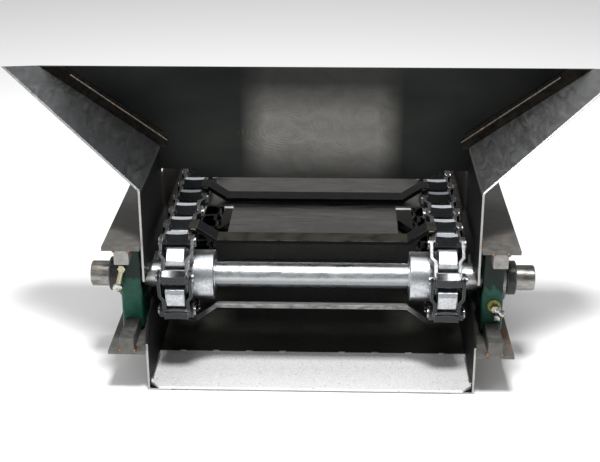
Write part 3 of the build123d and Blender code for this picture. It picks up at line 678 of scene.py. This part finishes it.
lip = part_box("lip_plate")
for name, side in sides.items():
    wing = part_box(f"wing_plate_{name}")
    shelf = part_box(f"lower_plate_{name}")
    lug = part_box(f"screw_lug_{name}")
    wall_x = near_x(wing, side)
    top, foot = wing[1][2], shelf[0][2]
    shape = bmesh.new()
    for plate, level, inset, size in (
        (wing, top, wing_front_inset, wing_bead),
        (shelf, foot, shelf_front_inset, shelf_bead),
    ):
        front, back = plate[0][1] + inset, plate[1][1] - guide_back_inset
        bead(shape, (wall_x, front, level), (wall_x, back, level), size)
    for y in (lug[0][1], lug[1][1]):
        bead(shape, (wall_x, y, lug[0][2] + lug_inset), (wall_x, y, lug[1][2] - lug_inset), lug_bead)
    mesh_object(f"guide_welds_{name}", shape, "trough", weld_rust)

    # rails: tacks to the wing above and the plate below, and a bead at each front end
    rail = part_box(f"upper_rail_{name}")
    outer, inner = far_x(rail, side), near_x(rail, side)
    above, below = wing[0][2], shelf[1][2]
    front, back = rail[0][1], rail[1][1]
    shape = bmesh.new()
    for y in (*(front + place for place in rail_tack_places), back - rail_tack_back):
        bead(shape, (outer, y, above), (outer, y + rail_tack, above), rail_bead)
        bead(shape, (outer, y, below), (outer, y + rail_tack, below), rail_bead)
        bead(shape, (inner, y, above), (inner, y + rail_inner_tack, above), rail_inner_bead)
    for x in (outer, inner):
        for level in (above, below):
            start, end = (x, front - rail_end_over, level), (x, front + rail_end_reach, level)
            bead(shape, start, end, rail_end_bead)
    mesh_object(f"rail_welds_{name}", shape, "trough", weld_rust)

    # lip: a bead down each edge and tacks along the back
    edge_x = side * abs(lip[1][0])
    top, back = lip[1][2], lip[1][1]
    shape = bmesh.new()
    start, end = (edge_x, lip[0][1] + lip_front_inset, top), (edge_x, back - lip_back_inset, top)
    bead(shape, start, end, lip_bead)
    for n in range(lip_tacks):
        x = side * (lip_tack_first + lip_tack_pitch * n)
        level = top - lip_tack_sink
        bead(shape, (x, back, level), (x + side * lip_tack_length, back, level), lip_tack_bead)
    mesh_object(f"lip_welds_{name}", shape, "trough", weld_zinc)

    # corner strips: a bead down each joint with the back plate
    strip_y = plate_front - strip_forward
    strip_foot = Vector((side * (abs(wall_x) - strip_inset), strip_y, tail.z + strip_foot_rise))
    strip_head = Vector((side * (abs(wall_x) + strip_spread), strip_y, tail.z + strip_head_rise))
    shape = bmesh.new()
    bead(shape, strip_foot, strip_head, strip_bead)
    mesh_object(f"corner_weld_{name}", shape, "trough", weld_dark)

    # hub to casting, and round the shaft at the hub's inner end
    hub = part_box(f"tail_sprocket_{name}")
    shape = bmesh.new()
    ring_bead(shape, Vector((side * hub_joint_x, tail.y, tail.z)), hub_radius, hub_bead)
    ring_bead(shape, Vector((near_x(hub, side), tail.y, tail.z)), shaft_joint_radius, shaft_joint_bead)
    mesh_object(f"hub_welds_{name}", shape, "tail_shaft_set", weld_zinc)


# grease nipples on the take-up housings, a painted seat under the right one, and a square plug
def marker_paint():
    """Yellow paint marker, thin and rubbed."""
    look, tree, shader = material("marker_paint", 0.0)
    mottle = noise(tree, spot(tree), scale=420.0, detail=4.0, roughness=0.7)
    colour = blend(tree, band(tree, mottle, 0.35, 0.65), (0.13, 0.12, 0.035), (0.46, 0.42, 0.10))
    rough = band(tree, mottle, 0.3, 0.7, 0.35, 0.6)
    finish_look(tree, shader, colour, rough, bumped(tree, mottle, distance=0.0004, strength=0.5))
    return look


yellow = marker_paint()
nickel = cast_zinc("nipple_nickel", tone=(0.58, 0.58, 0.56), grain=500.0, depth=0.0002)
housing_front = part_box("takeup_housing_right")[0][1]
forward = (0, -1, 0)
seat = Vector((tail.x + 0.269, housing_front, tail.z - 0.0305))
neck_length = 0.009
nozzle_right = Vector((14.0, -7.0, -9.5)).normalized()
nozzle_left = Vector((-8.0, -4.0, -34.0)).normalized()
left_end = Vector((tail.x - 0.285, housing_front - 0.013, tail.z - 0.006))
left_overlap = 0.004
plug_foot = Vector((tail.x + 0.2735, housing_front, tail.z - 0.0480))
plug_corners = 4

# profiles of (distance along the axis, radius)
seat_profile = [(0.0001, 0.0088), (0.0004, 0.0098), (0.0026, 0.0098), (0.0032, 0.0086), (0.0036, 0.0052)]
nipple_profile = [(0.0, 0.0062), (0.0035, 0.0066), (0.0070, 0.0066), (0.0085, 0.0046), (0.0105, 0.0043)]
nipple_profile += [(0.0118, 0.0060), (0.0150, 0.0060), (0.0172, 0.0046), (0.0182, 0.0020)]
head_profile = [(-0.0036, 0.0050), (-0.0026, 0.0074), (0.0022, 0.0074), (0.0032, 0.0060), (0.0034, 0.0022)]
plug_profile = [(0.0001, 0.0064), (0.0062, 0.0064), (0.0074, 0.0052), (0.0076, 0.0020)]

shape = bmesh.new()
turned(shape, seat, forward, seat_profile)
mesh_object("fitting_seat_right", shape, "take_up", yellow)
shape = bmesh.new()
turned(shape, seat + Vector((0, -neck_length, 0)), nozzle_right, nipple_profile)
mesh_object("nipple_right", shape, "take_up", nickel)
shape = bmesh.new()
turned(shape, left_end - nozzle_left * left_overlap, (0, -1, -0.25), head_profile)
mesh_object("nipple_left", shape, "take_up", nickel)
shape = bmesh.new()
turned(shape, plug_foot, forward, plug_profile, plug_corners)
mesh_object("housing_plug_right", shape, "take_up", nickel, smooth=False)

# flights of the straight runs, welded to the chains' inner side bars
for part in record["subparts"]:
    node = part["node"]
    run = node.split("_")[0]
    if "_flight" not in node or run not in ("upper", "lower"):
        continue
    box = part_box(node)
    low, high = Vector(box[0]), Vector(box[1])
    level = high.z - flight_bead_drop if run == "upper" else low.z + flight_bead_drop
    shape = bmesh.new()
    for side in sides.values():
        x = side * high.x
        start_x, end_x = x - side * flight_gap, x - side * flight_outer_gap
        for y in (low.y, high.y):
            bead(shape, (start_x, y, level), (end_x, y, level), flight_bead)
        start, end = (x, low.y + flight_end_gap, level), (x, high.y - flight_end_gap, level)
        bead(shape, start, end, flight_bead)
    mesh_object(f"{node}_welds", shape, run + "_run", weld_dark)


# ---------------------------------------------------------------- camera, from the tail shaft
def aim(camera, place, heading, dip, lean):
    """Point a camera: heading from +Y towards +X, dip below level, lean about the view."""
    ahead = Vector((math.sin(heading) * math.cos(dip), math.cos(heading) * math.cos(dip), -math.sin(dip)))
    right = Vector((math.cos(heading), -math.sin(heading), 0.0))
    above = right.cross(ahead)
    turned_right = right * math.cos(lean) + above * math.sin(lean)
    turned_above = above * math.cos(lean) - right * math.sin(lean)
    axes = Matrix((turned_right, turned_above, -ahead)).transposed()
    camera.matrix_world = Matrix.Translation(place) @ axes.to_4x4()


lens = bpy.data.cameras.new("camera")
lens.sensor_width, lens.lens = 36.0, 74.4
camera = bpy.data.objects.new("camera", lens)
bpy.context.collection.objects.link(camera)
from_tail = Vector((0.0415, -1.6928, 0.7632))
heading, dip, lean = (math.radians(degrees) for degrees in (-2.0, 22.22, -0.18))
aim(camera, tail + from_tail, heading, dip, lean)
bpy.context.scene.camera = camera


# ---------------------------------------------------------------- studio
def area_light(name, place, target, width, height, power):
    data = bpy.data.lights.new(name, "AREA")
    data.shape = "RECTANGLE"
    data.size, data.size_y = width, height
    data.energy = power
    lamp = bpy.data.objects.new(name, data)
    bpy.context.collection.objects.link(lamp)
    lamp.location = place
    lamp.rotation_euler = (Vector(target) - Vector(place)).to_track_quat("-Z", "Y").to_euler()


area_light("key", place=(0.1, -1.15, 2.7), target=(0, -0.2, 0.15), width=0.6, height=0.5, power=92.0)
area_light("top", place=(-0.2, 0.5, 2.2), target=(0, 0, 0.15), width=1.2, height=1.2, power=12.0)
area_light("fill", place=(-1.8, -1.6, 1.2), target=(0, -0.2, 0.15), width=1.4, height=1.4, power=16.0)

bpy.context.scene.view_settings.view_transform = "Standard"
world = bpy.data.worlds.new("studio")
bpy.context.scene.world = world
world.use_nodes = True
background = world.node_tree.nodes["Background"]
background.inputs["Color"].default_value = (1.0, 1.0, 1.0, 1.0)
background.inputs["Strength"].default_value = 0.42

bpy.ops.mesh.primitive_plane_add(size=14.0, location=(0, 0, cad_box[0][2]))
floor = bpy.context.object
floor.name = "studio_floor"
paper, _, paper_shader = material("studio_paper", 0.0)
paper_shader.inputs["Base Color"].default_value = (0.93, 0.93, 0.93, 1.0)
paper_shader.inputs["Roughness"].default_value = 0.9
floor.data.materials.append(paper)
